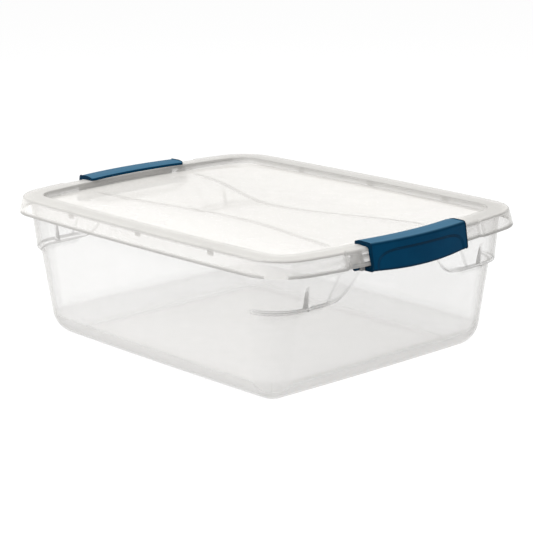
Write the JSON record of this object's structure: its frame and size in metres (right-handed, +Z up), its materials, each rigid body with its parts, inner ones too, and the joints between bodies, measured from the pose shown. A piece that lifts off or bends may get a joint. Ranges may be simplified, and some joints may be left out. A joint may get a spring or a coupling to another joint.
{
  "type": "latching under-bed storage box",
  "caption": "Shallow clear storage box with drafted walls, a recessed clear lid and blue snap latches that double as end handles.",
  "frame": {"origin": "centre of the footprint, on the surface that the tub's floor rests on", "axes": "+X along the box towards the front latch, +Y across it, +Z up"},
  "size_m": [0.606, 0.45, 0.1958],
  "materials": {
    "clear_tub": "milky clear polypropylene, softly glossy, slightly hazier at the floor",
    "clear_lid": "milky clear polypropylene, softly glossy panel with a finely frosted rim frame",
    "blue_latch": "deep teal blue moulded plastic, satin, with fine moulded grain"
  },
  "bodies": {
    "tub": {"tub": "clear_tub"},
    "lid": {"lid": "clear_lid"},
    "latch_front": {"latch_front": "blue_latch"},
    "latch_back": {"latch_back": "blue_latch"}
  },
  "joints": [
    {"name": "lid_lift", "type": "slide", "parent": "tub", "child": "lid", "axis": [0, 0, 1], "range_m": [0, 0.24]},
    {"name": "latch_front_hinge", "type": "hinge", "parent": "tub", "child": "latch_front", "pos_m": [0.277, 0, 0.166], "axis": [0, 1, 0], "range_deg": [0, 110]},
    {"name": "latch_back_hinge", "type": "hinge", "parent": "tub", "child": "latch_back", "pos_m": [-0.277, 0, 0.166], "axis": [0, -1, 0], "range_deg": [0, 110]}
  ]
}
